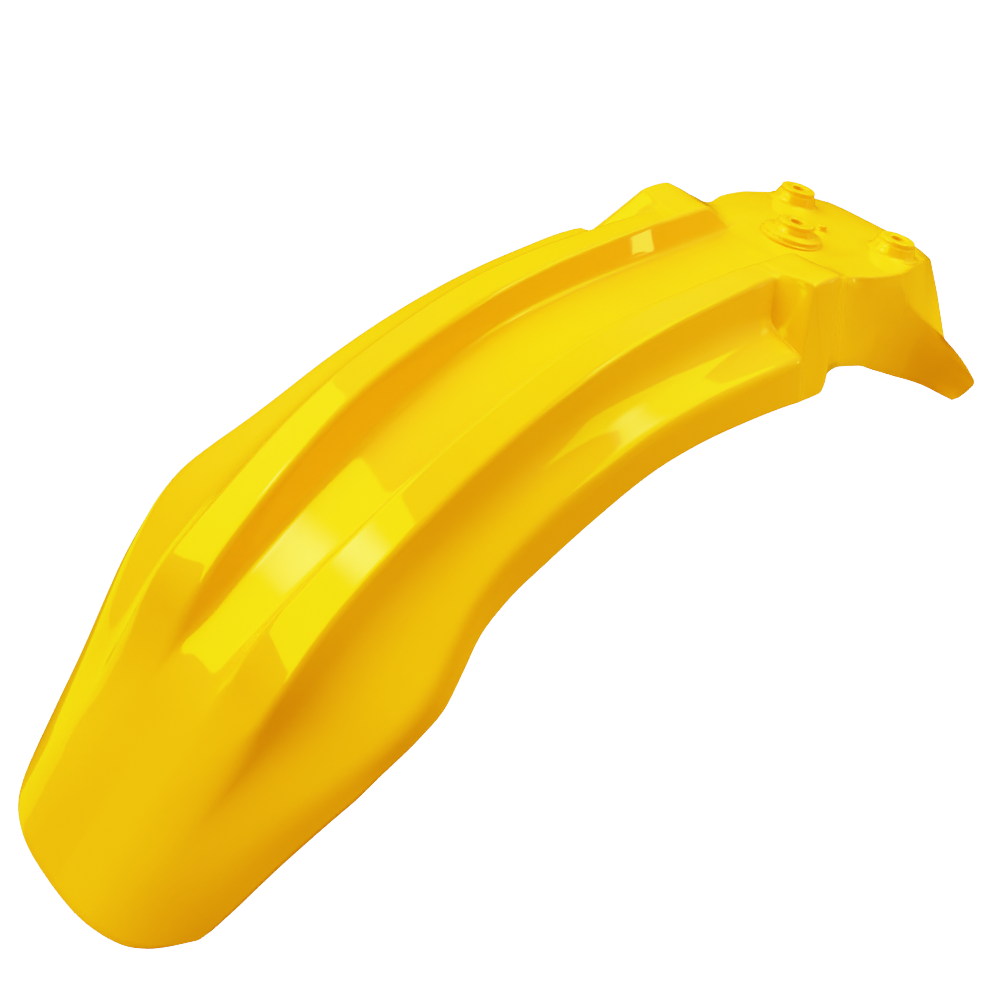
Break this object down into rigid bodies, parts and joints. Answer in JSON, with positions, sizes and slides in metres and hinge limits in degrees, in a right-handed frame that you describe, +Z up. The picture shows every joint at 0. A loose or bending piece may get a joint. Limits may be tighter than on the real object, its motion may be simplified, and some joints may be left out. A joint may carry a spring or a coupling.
{
  "type": "motorcycle front mudguard",
  "caption": "One-piece moulded front mudguard for a small off-road motorcycle, with a channel between ridges, flared sides and a flat rear plate with bolt bosses.",
  "frame": {"origin": "midway between the top faces of the two rear bolt bosses, on the centre plane", "axes": "+Z up along the bolt axes, +X to the rear of the motorcycle, so the nose points to -X; the part is symmetric left to right about the XZ plane"},
  "size_m": [0.521, 0.1848, 0.2568],
  "materials": {
    "shell": "high gloss yellow moulding"
  },
  "bodies": {
    "root": {"mudguard": "shell"}
  },
  "joints": []
}
